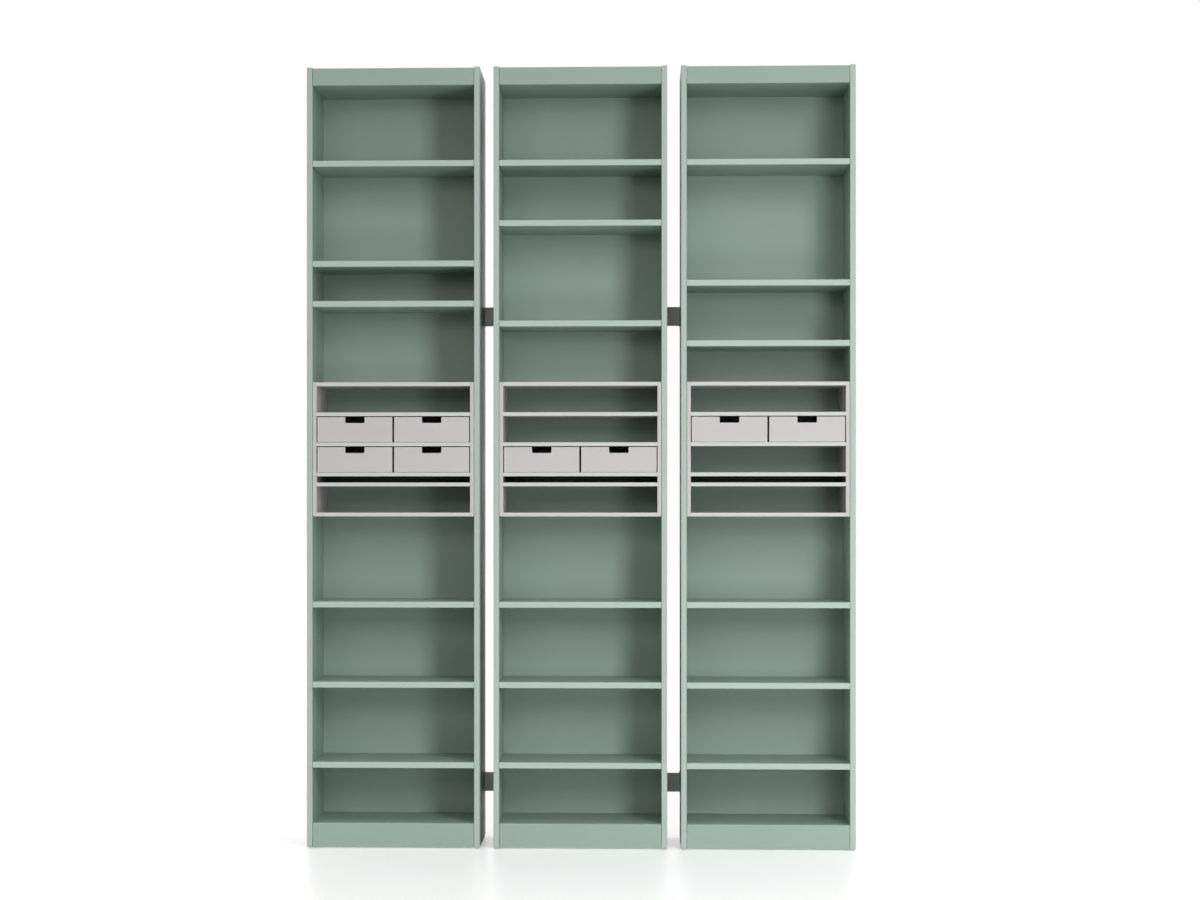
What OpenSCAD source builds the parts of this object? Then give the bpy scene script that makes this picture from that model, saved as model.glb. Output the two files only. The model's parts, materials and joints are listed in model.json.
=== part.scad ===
// Modular bookcase: three tall open units side by side, joined by link brackets.
// Each unit has a back panel, six shelves and an insert with bays, a slot and small drawers.
// Origin: middle of the footprint, on the floor. +X to the right, +Y to the back, +Z up.

/* [Unit] */
// Outer width of one unit
unit_w = 553; // [450:1:700]
// Outer depth of one unit
unit_d = 320; // [280:1:420]
// Gap between two units, bridged by the link brackets
unit_gap = 44; // [20:1:80]
// Height of one row, the step by which shelves and insert boards are placed
row_pitch = 32; // [30:0.5:34]
// Number of rows from the first row up to the ceiling of a unit
ceiling_row_count = 73.5; // [72:0.5:80]
// Height of the base board's top above the floor
base_h = 80; // [75:1:140]
// Height of the first row above the base board's top
first_row = 3; // [0:1:20]

/* [Boards] */
// Thickness of the upright sides
side_t = 18; // [16:1:25]
// Thickness of shelves, base board and top board
shelf_t = 19; // [18:1:25]
// Thickness of the back panel
back_t = 8; // [5:1:12]
// Distance from a side's rear edge to the back panel
back_recess = 12; // [8:1:25]
// Depth of the groove that holds the back panel
groove_depth = 8; // [5:1:9]
// Height of the fascia board above the ceiling
fascia_h = 55; // [50:1:120]
// Thickness of the fascia and the plinth
front_t = 18; // [16:1:25]
// How far the sides rise above the fascia
side_rise = 3; // [0:1:10]

/* [Layout] */
// Rows of the six shelf tops in the left unit
left_rows = [6, 14, 22, 52, 56, 66];
// Rows of the six shelf tops in the middle unit
middle_rows = [6, 14, 22, 50, 60, 66];
// Rows of the six shelf tops in the right unit
right_rows = [6, 14, 22, 48, 54, 66];
// Number of rows from the first row up to the underside of the insert
insert_row_count = 30.5; // [27:0.5:32]
// Rows of the undersides of the six insert boards, counted from the insert's own underside
insert_board_rows = [0, 3, 4, 7, 10, 13];

/* [Insert] */
// Thickness of the insert's sides and boards
insert_t = 12; // [9:1:16]
// Gap between the insert and a side of the unit
insert_gap = 0.8; // [0.5:0.1:2]

/* [Drawers] */
// Gap on each side of a drawer
drawer_gap = 3; // [1:0.5:5]
// Gap above a drawer front
drawer_top_gap = 3; // [1:0.5:6]
// Gap under a drawer front
drawer_low_gap = 1; // [0.5:0.5:3]
// Gap between a closed drawer and the back panel
drawer_back_gap = 15; // [5:1:60]
// Thickness of a drawer front
drawer_front_t = 12; // [10:1:16]
// Thickness of a drawer's sides and rear wall
drawer_wall_t = 8; // [6:1:12]
// Thickness of a drawer's bottom
drawer_bottom_t = 5; // [3:1:8]
// Height of a drawer's sides
drawer_wall_h = 68; // [40:1:72]
// Height of a drawer's bottom above the lower edge of its sides
drawer_bottom_rise = 5; // [2:1:12]
// How far a drawer's bottom reaches into its grooves
drawer_groove = 4; // [2:0.5:5]
// Width of the finger notch in a drawer front
notch_w = 62; // [40:1:90]
// Depth of the finger notch
notch_d = 19; // [12:1:30]
// Corner radius of the finger notch
notch_r = 4; // [1:0.5:8]

/* [Shelf pins] */
// Diameter of the steel pins that carry the shelves
pin_d = 5; // [4:0.5:7]
// Depth of a pin in the side
pin_depth = 10; // [8:1:13]
// How far a pin stands out of the side
pin_reach = 8; // [6:1:14]
// Distance of the pins from a shelf's front and rear edge
pin_inset = 37; // [30:1:60]
// Gap between a shelf's end and the side
shelf_end_gap = 0.5; // [0.3:0.1:1.5]
// Gap between a shelf's rear edge and the back panel
shelf_back_gap = 1; // [0.5:0.5:5]

/* [Frame joints] */
// Diameter of the wooden dowels
dowel_d = 8; // [6:1:10]
// Length of the wooden dowels
dowel_len = 30; // [25:1:40]
// Depth of a dowel or connecting bolt in the side
side_bore = 12; // [8:1:13]
// Distance between two neighbouring fittings
fitting_pitch = 32; // [28:1:40]
// Distance of the cam fittings from the middle of a board's depth
cam_offset = 90; // [70:1:110]
// Distance of a cam's middle from the board's end
cam_setback = 24; // [20:1:34]
// Diameter of a cam housing
cam_d = 15; // [12:1:20]
// Height of a cam housing
cam_h = 12.5; // [11:0.5:14]
// Diameter of the connecting bolt's shank
cam_bolt_d = 7; // [5:0.5:8]
// Diameter of the connecting bolt's thread
cam_thread_d = 5; // [4:0.5:6]

/* [Screws] */
// Diameter of the screws that hold the insert
insert_screw_d = 4; // [3:0.5:5]
// Length of the screws that hold the insert
insert_screw_len = 26; // [22:1:28]
// Distance of the insert screws from the insert's front and rear edge
insert_screw_inset = 60; // [40:1:100]
// Diameter of the link screws
link_screw_d = 5; // [4:0.5:6]
// How far a link screw reaches past the bracket's flange
link_screw_end = 4; // [1:1:8]

/* [Link brackets] */
// Height of a link bracket
link_h = 62; // [50:1:90]
// Depth of a link bracket
link_d = 42; // [30:1:60]
// Steel thickness of a link bracket
link_t = 3; // [2:0.5:4]
// Height of the lower link brackets' middle above the floor
link_low_z = 187; // [150:1:220]
// Height of the upper link brackets' middle above the floor
link_high_z = 1712; // [1500:1:1720]
// Distance from a link bracket's rear edge to the rear of the units
link_inset = 23; // [15:1:120]

/* [Feet] */
// Diameter of a glide foot
foot_d = 16; // [10:1:16]
// Height of a glide foot
foot_h = 3; // [2:0.5:6]
// Distance of a foot from a side's front and rear edge
foot_inset = 35; // [25:1:60]
// Diameter of a foot's pin
foot_pin_d = 5; // [4:0.5:6]
// Length of a foot's pin in the side
foot_pin_len = 15; // [10:1:18]

/* [Wall brackets] */
// Width of a wall bracket
wall_w = 70; // [50:1:120]
// Depth of a wall bracket's lower leg
wall_leg = 50; // [48:1:70]
// Height of a wall bracket's upright leg
wall_rise = 30; // [24:1:32]
// Steel thickness of a wall bracket
wall_t = 2; // [1.5:0.5:4]
// Diameter of the holes for the wall screws
wall_hole_d = 6.5; // [5:0.5:8]
// Distance between the holes of a wall bracket
wall_hole_pitch = 40; // [30:1:50]
// Diameter of the screws that hold a wall bracket
wall_screw_d = 4; // [3:0.5:5]
// Length of a wall bracket's screw in the top board
wall_screw_len = 14; // [10:1:16]

/* [Fits] */
// Radial play of pins, dowels and screws in their bores
bore_play = 0.05; // [0.02:0.01:0.1]
// Radial play of the link screws in the sides
link_play = 0.25; // [0.1:0.05:0.5]
// Play of boards in their grooves
groove_play = 0.2; // [0.1:0.1:0.5]
// Running gap under a drawer
running_gap = 0.2; // [0.1:0.05:0.3]
// Glue line between the glued walls of a drawer
glue_line = 0.1; // [0.05:0.05:0.2]

/* [Hidden] */
$fn = 48;
over = 1;                                   // how far a cutting tool runs past a face
sage = "#A9BDB2";
sage_dark = "#7F948A";
insert_grey = "#CBC7C6";
steel = "#8E9392";
link_steel = "#5A6660";
zinc = "#B9BCBC";
beech = "#C9A878";
plastic = "#3A3C3B";

LEFT = 0;
MIDDLE = 1;
RIGHT = 2;
UNITS = ["left", "middle", "right"];
SIDES = [-1, 1];
shelf_rows = [left_rows, middle_rows, right_rows];
LOWER = [0, 1, 2];
UPPER = [3, 4, 5];
// Each drawer's unit, its bay counted from the insert's underside, and its half of the bay
DRAWERS = [[LEFT, 3, -1], [LEFT, 3, 1], [LEFT, 2, -1], [LEFT, 2, 1],
           [MIDDLE, 2, -1], [MIDDLE, 2, 1], [RIGHT, 3, -1], [RIGHT, 3, 1]];
// The bay of each unit's insert where the screws sit, behind a drawer
SCREW_BAY = [3, 2, 3];
link_heights = [link_low_z, link_high_z];

front_y = -unit_d / 2;
rear_y = unit_d / 2;
inner_w = unit_w - 2 * side_t;
row_0_z = base_h + first_row;
ceiling_z = row_0_z + ceiling_row_count * row_pitch;
fascia_top = ceiling_z + fascia_h;
unit_h = fascia_top + side_rise;
back_y = rear_y - back_recess - back_t;     // the back panel's front face
shelf_d = back_y - shelf_back_gap - front_y;
shelf_w = inner_w - 2 * shelf_end_gap;

board_y0 = front_y + front_t;               // base board and top board start behind the plinth
board_mid_y = (board_y0 + rear_y) / 2;
cam_ys = [board_mid_y - cam_offset, board_mid_y + cam_offset];
dowel_ys = [cam_ys[0] + fitting_pitch, cam_ys[1] - fitting_pitch];
front_mid_y = front_y + front_t / 2;
front_dowel_zs = [for (mid = [(foot_h + base_h) / 2, ceiling_z + fascia_h / 2], s = SIDES)
    mid + s * fitting_pitch / 2];
board_mid_zs = [base_h - shelf_t / 2, ceiling_z + shelf_t / 2];
board_dowel_len = dowel_len - side_bore;

pin_ys = [front_y + pin_inset, front_y + shelf_d - pin_inset];
pin_groove_h = pin_d + groove_play;
pin_groove_d = pin_reach + groove_play - shelf_end_gap;

insert_z = row_0_z + insert_row_count * row_pitch;
insert_w = inner_w - 2 * insert_gap;
insert_h = insert_board_rows[len(insert_board_rows) - 1] * row_pitch + insert_t;
insert_bay_w = insert_w - 2 * insert_t;
insert_screw_ys = [front_y + insert_screw_inset, front_y + shelf_d - insert_screw_inset];

drawer_w = insert_bay_w / 2 - 2 * drawer_gap;
drawer_len = back_y - drawer_back_gap - front_y;

link_y = rear_y - link_inset - link_d;       // a link bracket's front face
link_screw_y = link_y + link_d / 2 + link_t / 2;
link_screw_len = side_t + link_t + link_screw_end;
foot_ys = [front_y + foot_inset, rear_y - foot_inset];
wall_screw_y = rear_y - wall_t - (wall_leg - wall_t) / 2;
top_board_z = ceiling_z + shelf_t;          // the top board's upper face

function unit_x(u) = (u - 1) * (unit_w + unit_gap);
function inner_x(u, side) = unit_x(u) + side * inner_w / 2;
function row_z(row) = row_0_z + row * row_pitch;
function shelf_mid_z(row) = row_z(row) - shelf_t / 2;
function bay_floor_z(bay) = insert_z + insert_board_rows[bay] * row_pitch + insert_t;
function bay_clear_h(bay) = (insert_board_rows[bay + 1] - insert_board_rows[bay]) * row_pitch - insert_t;
function bay_mid_z(bay) = bay_floor_z(bay) + bay_clear_h(bay) / 2;
function drawer_x(d) = unit_x(d[0]) + d[2] * insert_bay_w / 4;

// A block between two opposite corners
module block(low, high) {
    translate(low) cube(high - low);
}

// A round bar along X: from x, to the right for side 1 or to the left for side -1
module bar_x(x, y, z, side, d, len) {
    translate([x, y, z]) rotate([0, side * 90, 0]) cylinder(h = len, d = d);
}

// A countersunk screw along X whose flat head lies at x
module flat_screw_x(x, y, z, side, d, len) {
    translate([x, y, z]) rotate([0, side * 90, 0]) {
        cylinder(h = d / 2, d1 = 2 * d, d2 = d);
        cylinder(h = len, d = d);
    }
}

// The hole for such a screw, through len of material, with its countersink
module flat_hole_x(x, y, z, side, d, len, play) {
    bar_x(x - side * over, y, z, side, d + 2 * play, len + 2 * over);
    translate([x - side * play, y, z]) rotate([0, side * 90, 0])
        cylinder(h = d / 2 + play, d1 = 2 * d + 4 * play, d2 = d + 2 * play);
}

// A blind bore along X into something whose face is at x
module bore_x(x, y, z, side, d, depth, play = bore_play) {
    bar_x(x - side * over, y, z, side, d + 2 * play, depth + over);
}

// Upright side of a unit, with the groove for the back panel and all its bores
module side_panel(u, side) {
    x = inner_x(u, side);
    color(sage) difference() {
        block([min(x, x + side * side_t), front_y, foot_h],
              [max(x, x + side * side_t), rear_y, unit_h]);
        block([x - groove_depth, back_y - groove_play / 2, foot_h - over],
              [x + groove_depth, back_y + back_t + groove_play / 2, unit_h + over]);
        for (row = shelf_rows[u], y = pin_ys)
            bore_x(x, y, shelf_mid_z(row), side, pin_d, pin_depth + groove_play);
        for (z = board_mid_zs) {
            for (y = dowel_ys) bore_x(x, y, z, side, dowel_d, side_bore + groove_play);
            for (y = cam_ys) bore_x(x, y, z, side, cam_thread_d, side_bore + groove_play);
        }
        for (z = front_dowel_zs)
            bore_x(x, front_mid_y, z, side, dowel_d, side_bore + groove_play);
        for (y = insert_screw_ys)
            bore_x(x, y, bay_mid_z(SCREW_BAY[u]), side, insert_screw_d,
                   insert_screw_len - insert_t - insert_gap + groove_play);
        for (mid = link_heights, s = SIDES)
            flat_hole_x(x, link_screw_y, mid + s * fitting_pitch / 2, side,
                        link_screw_d, side_t, link_play);
        for (y = foot_ys)
            translate([x + side * side_t / 2, y, foot_h - over])
                cylinder(h = foot_pin_len + groove_play + over, d = foot_pin_d + 2 * bore_play);
    }
}

// Back panel, held in grooves all round
module back_panel(u) {
    half = inner_w / 2 + groove_depth - groove_play;
    color(sage_dark)
        block([unit_x(u) - half, back_y, base_h - groove_depth],
              [unit_x(u) + half, back_y + back_t, ceiling_z + groove_depth - groove_play]);
}

// Base board or top board. inside is 1 where the unit's room is above the board, and -1 below it
module frame_board(u, z, inside) {
    mid_z = z + shelf_t / 2;
    room_z = mid_z + inside * shelf_t / 2;
    hidden_z = mid_z - inside * shelf_t / 2;
    color(sage) difference() {
        block([inner_x(u, -1), board_y0, z], [inner_x(u, 1), rear_y, z + shelf_t]);
        block([inner_x(u, -1) - over, back_y - groove_play / 2, room_z - groove_depth],
              [inner_x(u, 1) + over, back_y + back_t + groove_play / 2, room_z + groove_depth]);
        for (side = SIDES) {
            x = inner_x(u, side);
            for (y = dowel_ys) bore_x(x, y, mid_z, -side, dowel_d, board_dowel_len + groove_play);
            for (y = cam_ys) {
                bore_x(x, y, mid_z, -side, cam_bolt_d, cam_setback);
                translate([x - side * cam_setback, y, hidden_z - inside * over])
                    rotate([inside > 0 ? 0 : 180, 0, 0])
                        cylinder(h = cam_h + groove_play + over, d = cam_d + 2 * bore_play);
            }
        }
        if (inside < 0) for (s = SIDES)
            translate([unit_x(u) + s * wall_hole_pitch / 2, wall_screw_y,
                       hidden_z - wall_screw_len - groove_play])
                cylinder(h = wall_screw_len + groove_play + over, d = wall_screw_d + 2 * bore_play);
    }
}

module base_board(u) { frame_board(u, base_h - shelf_t, 1); }

module top_board(u) { frame_board(u, ceiling_z, -1); }

// Fascia or plinth: a board on edge between the sides, flush with their front edges
module front_board(u, z0, z1) {
    mid = (z0 + z1) / 2;
    color(sage) difference() {
        block([inner_x(u, -1), front_y, z0], [inner_x(u, 1), front_y + front_t, z1]);
        for (side = SIDES, s = SIDES)
            bore_x(inner_x(u, side), front_mid_y, mid + s * fitting_pitch / 2, -side,
                   dowel_d, board_dowel_len + groove_play);
    }
}

module fascia(u) { front_board(u, ceiling_z, fascia_top); }

module plinth(u) { front_board(u, foot_h, base_h); }

// One shelf, with a groove in each end that slides over its two pins from the front
module shelf(u, row) {
    mid_z = shelf_mid_z(row);
    color(sage) difference() {
        block([unit_x(u) - shelf_w / 2, front_y, mid_z - shelf_t / 2],
              [unit_x(u) + shelf_w / 2, front_y + shelf_d, mid_z + shelf_t / 2]);
        for (side = SIDES) {
            x = unit_x(u) + side * shelf_w / 2;
            block([x - pin_groove_d, pin_ys[0] - pin_groove_h / 2, mid_z - pin_groove_h / 2],
                  [x + pin_groove_d, front_y + shelf_d + over, mid_z + pin_groove_h / 2]);
        }
    }
}

module shelves(u, group) {
    for (i = group) shelf(u, shelf_rows[u][i]);
}

// Straight pins between the sides and the grooves in the shelves' ends
module shelf_pins() {
    color(steel) for (u = [LEFT : RIGHT], side = SIDES, row = shelf_rows[u], y = pin_ys)
        bar_x(inner_x(u, side) + side * pin_depth, y, shelf_mid_z(row), -side,
              pin_d, pin_depth + pin_reach);
}

// Sides of the insert, with the holes for its four screws
module insert_sides(u) {
    for (side = SIDES) {
        x = unit_x(u) + side * insert_bay_w / 2;
        color(insert_grey) difference() {
            block([min(x, x + side * insert_t), front_y, insert_z],
                  [max(x, x + side * insert_t), front_y + shelf_d, insert_z + insert_h]);
            for (y = insert_screw_ys)
                flat_hole_x(x, y, bay_mid_z(SCREW_BAY[u]), side, insert_screw_d, insert_t, bore_play);
        }
    }
}

// Boards of the insert, which part its bays
module insert_boards(u) {
    color(insert_grey) for (row = insert_board_rows)
        block([unit_x(u) - insert_bay_w / 2, front_y, insert_z + row * row_pitch],
              [unit_x(u) + insert_bay_w / 2, front_y + shelf_d, insert_z + row * row_pitch + insert_t]);
}

module insert_screws() {
    color(zinc) for (u = [LEFT : RIGHT], side = SIDES, y = insert_screw_ys)
        flat_screw_x(unit_x(u) + side * insert_bay_w / 2, y, bay_mid_z(SCREW_BAY[u]), side,
                     insert_screw_d, insert_screw_len);
}

// Drawer front, with a finger notch in its top edge and a groove for the drawer's bottom
module drawer_front(d) {
    x = drawer_x(d);
    z0 = bay_floor_z(d[1]) + drawer_low_gap;
    z1 = bay_floor_z(d[1]) + bay_clear_h(d[1]) - drawer_top_gap;
    bottom_z = bay_floor_z(d[1]) + running_gap + drawer_bottom_rise;
    color(insert_grey) difference() {
        block([x - drawer_w / 2, front_y, z0], [x + drawer_w / 2, front_y + drawer_front_t, z1]);
        block([x - notch_w / 2, front_y - over, z1 - notch_d + notch_r],
              [x + notch_w / 2, front_y + drawer_front_t + over, z1 + over]);
        block([x - notch_w / 2 + notch_r, front_y - over, z1 - notch_d],
              [x + notch_w / 2 - notch_r, front_y + drawer_front_t + over, z1]);
        for (s = SIDES)
            translate([x + s * (notch_w / 2 - notch_r), front_y - over, z1 - notch_d + notch_r])
                rotate([-90, 0, 0]) cylinder(h = drawer_front_t + 2 * over, r = notch_r);
        block([x - drawer_w / 2 + drawer_wall_t - drawer_groove, front_y + drawer_front_t - drawer_groove,
               bottom_z - groove_play / 2],
              [x + drawer_w / 2 - drawer_wall_t + drawer_groove, front_y + drawer_front_t + over,
               bottom_z + drawer_bottom_t + groove_play / 2]);
    }
}

// Drawer box: two grooved sides, a rear wall between them, and the bottom that slides in under it
module drawer_box(d) {
    x = drawer_x(d);
    z0 = bay_floor_z(d[1]) + running_gap;
    bottom_z = z0 + drawer_bottom_rise;
    bottom_top = bottom_z + drawer_bottom_t;
    y0 = front_y + drawer_front_t;
    y1 = front_y + drawer_len;
    inside_w = drawer_w - 2 * drawer_wall_t;
    for (side = SIDES) {
        inside_x = x + side * inside_w / 2;
        outside_x = x + side * drawer_w / 2;
        color(insert_grey) difference() {
            block([min(inside_x, outside_x), y0, z0], [max(inside_x, outside_x), y1, z0 + drawer_wall_h]);
            block([inside_x - drawer_groove, y0 - over, bottom_z - groove_play / 2],
                  [inside_x + drawer_groove, y1 + over, bottom_top + groove_play / 2]);
        }
    }
    color(insert_grey)
        block([x - inside_w / 2 + glue_line, y1 - drawer_wall_t, bottom_top + glue_line],
              [x + inside_w / 2 - glue_line, y1, z0 + drawer_wall_h]);
    reach = inside_w / 2 + drawer_groove - groove_play;
    color(insert_grey)
        block([x - reach, y0 - drawer_groove + groove_play, bottom_z], [x + reach, y1, bottom_top]);
}

// Wooden dowels between the sides and the boards that end on them
module frame_dowels() {
    color(beech) for (u = [LEFT : RIGHT], side = SIDES) {
        x = inner_x(u, side) + side * side_bore;
        for (y = dowel_ys, z = board_mid_zs) bar_x(x, y, z, -side, dowel_d, dowel_len);
        for (z = front_dowel_zs) bar_x(x, front_mid_y, z, -side, dowel_d, dowel_len);
    }
}

// Cam housings in the hidden faces of the base board and the top board, each with a driver slot
module cam_housings() {
    slot_w = cam_d / 8;
    color(zinc) for (u = [LEFT : RIGHT], side = SIDES, y = cam_ys, inside = SIDES)
        translate([inner_x(u, side) - side * cam_setback, y,
                   inside > 0 ? base_h - shelf_t : ceiling_z + shelf_t])
            rotate([inside > 0 ? 0 : 180, 0, 0]) difference() {
                cylinder(h = cam_h, d = cam_d);
                block([-cam_d / 3, -slot_w / 2, -over], [cam_d / 3, slot_w / 2, slot_w]);
            }
}

// Connecting bolts: a thread in the side and a shank in the board, up to the cam
module cam_bolts() {
    color(zinc) for (u = [LEFT : RIGHT], side = SIDES, y = cam_ys, z = board_mid_zs) {
        bar_x(inner_x(u, side), y, z, side, cam_thread_d, side_bore);
        bar_x(inner_x(u, side), y, z, -side, cam_bolt_d, cam_setback - cam_d / 2 - bore_play);
    }
}

// Link brackets: bent steel channels between two units, with a flange on each side
module link_brackets() {
    color(link_steel) for (gap = [LEFT, MIDDLE], mid = link_heights) {
        x0 = unit_x(gap) + unit_w / 2;
        x1 = x0 + unit_gap;
        difference() {
            block([x0, link_y, mid - link_h / 2], [x1, link_y + link_d, mid + link_h / 2]);
            block([x0 + link_t, link_y + link_t, mid - link_h / 2 - over],
                  [x1 - link_t, link_y + link_d + over, mid + link_h / 2 + over]);
            for (s = SIDES)
                bar_x(x0 - over, link_screw_y, mid + s * fitting_pitch / 2, 1,
                      link_screw_d + 2 * bore_play, unit_gap + 2 * over);
        }
    }
}

// Link screws, from inside each unit through its side into the bracket's flange
module link_screws() {
    color(zinc) for (gap = [LEFT, MIDDLE], end = SIDES, mid = link_heights, s = SIDES)
        flat_screw_x(inner_x(end < 0 ? gap : gap + 1, -end), link_screw_y, mid + s * fitting_pitch / 2,
                     -end, link_screw_d, link_screw_len);
}

// Glide feet pressed into the lower edges of the sides
module glide_feet() {
    color(plastic) for (u = [LEFT : RIGHT], side = SIDES, y = foot_ys)
        translate([inner_x(u, side) + side * side_t / 2, y, 0]) {
            cylinder(h = foot_h, d = foot_d);
            cylinder(h = foot_h + foot_pin_len, d = foot_pin_d);
        }
}

// Angle brackets on the top boards, hidden by the fascia, that tie the units to a wall
module wall_brackets() {
    color(steel) for (u = [LEFT : RIGHT]) {
        low = [unit_x(u) - wall_w / 2, rear_y - wall_leg, top_board_z];
        high = [unit_x(u) + wall_w / 2, rear_y, top_board_z + wall_rise];
        difference() {
            block(low, high);
            block([low[0] - over, low[1] - over, low[2] + wall_t],
                  [high[0] + over, high[1] - wall_t, high[2] + over]);
            for (s = SIDES) {
                translate([unit_x(u) + s * wall_hole_pitch / 2, wall_screw_y, top_board_z - over])
                    cylinder(h = wall_t + 2 * over, d = wall_screw_d + 2 * bore_play);
                translate([unit_x(u) + s * wall_hole_pitch / 2, rear_y + over,
                           top_board_z + wall_t + (wall_rise - wall_t) / 2])
                    rotate([90, 0, 0]) cylinder(h = wall_t + 2 * over, d = wall_hole_d);
            }
        }
    }
}

// Pan-head screws that hold the wall brackets on the top boards
module wall_bracket_screws() {
    color(zinc) for (u = [LEFT : RIGHT], s = SIDES)
        translate([unit_x(u) + s * wall_hole_pitch / 2, wall_screw_y, top_board_z - wall_screw_len]) {
            cylinder(h = wall_screw_len + wall_t, d = wall_screw_d);
            translate([0, 0, wall_screw_len + wall_t]) cylinder(h = wall_screw_d / 2, d = 2 * wall_screw_d);
        }
}

for (u = [LEFT : RIGHT]) {
    side_panel(u, -1);
    side_panel(u, 1);
    back_panel(u);
    top_board(u);
    fascia(u);
    base_board(u);
    plinth(u);
    shelves(u, LOWER);
    shelves(u, UPPER);
    insert_sides(u);
    insert_boards(u);
}
for (i = [1 : len(DRAWERS)]) {
    drawer_front(DRAWERS[i - 1]);
    drawer_box(DRAWERS[i - 1]);
}
shelf_pins();
frame_dowels();
cam_housings();
cam_bolts();
insert_screws();
link_brackets();
link_screws();
glide_feet();
wall_brackets();
wall_bracket_screws();
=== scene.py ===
"""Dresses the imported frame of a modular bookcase: lacquered boards, fittings, floor, light and camera."""

import json
import math

import bmesh
import bpy
from bpy.props import FloatProperty, FloatVectorProperty, IntProperty, PointerProperty
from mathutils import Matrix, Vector


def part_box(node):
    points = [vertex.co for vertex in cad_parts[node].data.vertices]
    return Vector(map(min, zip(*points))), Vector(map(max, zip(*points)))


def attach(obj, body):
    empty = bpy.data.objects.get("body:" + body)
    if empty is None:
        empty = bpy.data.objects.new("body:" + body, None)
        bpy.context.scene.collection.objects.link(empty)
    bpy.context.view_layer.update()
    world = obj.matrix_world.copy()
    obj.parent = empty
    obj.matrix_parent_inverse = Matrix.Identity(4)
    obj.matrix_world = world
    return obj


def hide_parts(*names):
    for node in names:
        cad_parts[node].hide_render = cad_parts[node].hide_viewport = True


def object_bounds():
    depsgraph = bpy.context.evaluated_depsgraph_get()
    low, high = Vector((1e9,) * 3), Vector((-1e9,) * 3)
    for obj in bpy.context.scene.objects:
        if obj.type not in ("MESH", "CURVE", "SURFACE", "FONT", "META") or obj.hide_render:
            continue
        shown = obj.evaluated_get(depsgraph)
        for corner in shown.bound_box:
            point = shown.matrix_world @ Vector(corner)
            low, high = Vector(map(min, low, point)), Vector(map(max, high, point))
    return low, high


bl_info = {
    "name": "Modular bookcase",
    "version": (1, 0, 0),
    "blender": (4, 5, 0),
    "location": "View3D > Sidebar > Bookcase",
    "description": "Finishes the boards, drawers and fittings of a modular bookcase",
    "category": "Add Mesh",
}

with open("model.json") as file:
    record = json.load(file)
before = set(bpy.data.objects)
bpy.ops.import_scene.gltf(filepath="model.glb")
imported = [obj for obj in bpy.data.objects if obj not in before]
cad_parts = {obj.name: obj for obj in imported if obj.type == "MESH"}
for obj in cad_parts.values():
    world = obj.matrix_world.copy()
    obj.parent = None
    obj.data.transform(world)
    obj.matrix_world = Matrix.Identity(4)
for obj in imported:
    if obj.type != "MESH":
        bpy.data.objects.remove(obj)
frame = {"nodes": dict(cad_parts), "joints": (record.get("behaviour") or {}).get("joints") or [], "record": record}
CAD_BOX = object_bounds()
RECORD = frame["record"]
BODY_OF = {node: body for body, nodes in RECORD["behaviour"]["bodies"].items() for node in nodes}
UNITS = ("left", "middle", "right")
DRAWER_COUNT = len(frame["joints"])
X, Y, Z = 0, 1, 2
MM = 0.001

# How the meshes of the frame are read
MERGE = 1e-6               # vertices closer than this are one vertex
FLAT = math.radians(0.5)   # faces that meet at less than this are one flat face
SHARP = math.radians(60)   # edges that turn by more than this can be eased
SMOOTH = math.radians(40)  # edges that turn by less than this are shaded smooth
SQUARE_ON = 0.995          # a face with a normal this near an axis isn't part of a rounded edge
FRONTAL = 0.9              # a face looks to the front if this much of its normal does
WIDEST = 0.98              # vertices this near a fitting's full radius are its widest part

# Play and steel thicknesses
GROOVE_PLAY = 0.1 * MM     # room on each side of a shelf pin in its groove
NOTCH_RIM = 0.1 * MM       # a finger notch's rims reach no further below its floor than this
LINK_STEEL = 3 * MM
WALL_STEEL = 2 * MM
OUTER_BEND_STEPS, INNER_BEND_STEPS, BURR_STEPS = 6, 4, 2
SHORTEST_RIM = 2 * MM      # shorter edges of a bent part belong to its bends

# Screws, connecting bolts and glide feet
SCREW_SIDES = 24           # faces round a screw or bolt
BOLT_COLLAR = 3 * MM       # length of the collar
BOLT_SCREW_LENGTH = 12 * MM
BOLT_SCREW_RADIUS = 2.5 * MM
BOLT_THREAD_DEPTH = 0.6 * MM
BOLT_POINT = 1.5 * MM      # length of the point
FOOT_SOLE = 3 * MM         # thickness of the sole
FOOT_PIN = 2.5 * MM        # radius of the pin over its barbs
FOOT_BARB = 3 * MM         # distance between two barbs
PIN_STEP = 0.4 * MM        # how far the barbs stand out of the pin
RECESS_TAPER = 0.45        # size of a cross recess at its bottom against its mouth

# Camera, with places in metres and the lens and sensor in millimetres
CAMERA_PLACE = (0.1881, -8.6045, 1.1219)  # level with the inserts' lowest bays, right of the middle
CAMERA_TURN = 2.222        # degrees to the left of straight ahead
CAMERA_LENS, CAMERA_SENSOR = 79.62, 36
CAMERA_SHIFT = (0.0530, 0.0389)
CAMERA_REACH = 100

# Floor and light, in metres
FLOOR_REACH = 30.0         # half the floor's side
FLOOR_NEAR, FLOOR_FAR = 1.6, 3.6  # between these distances the floor sends back less and less light
ROOM_TURN = 0.4            # how gradually the room light changes from the front to the back
AIM = Vector((0, 0, 1.2))  # where the softboxes point
COOL, WARM = (0.98, 1.0, 1.0), (1.0, 0.965, 0.89)
SOFTBOXES = {              # place, width, height and tone
    "key": ((3.0, -6.2, 3.9), 1.3, 1.7, COOL),
    "low": ((1.6, -3.6, 0.5), 0.8, 0.7, COOL),
    "near": ((1.6, -3.6, 1.75), 0.8, 0.8, COOL),
    "fill": ((-1.6, -8.1, 2.9), 4.4, 1.4, WARM),
}

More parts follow.
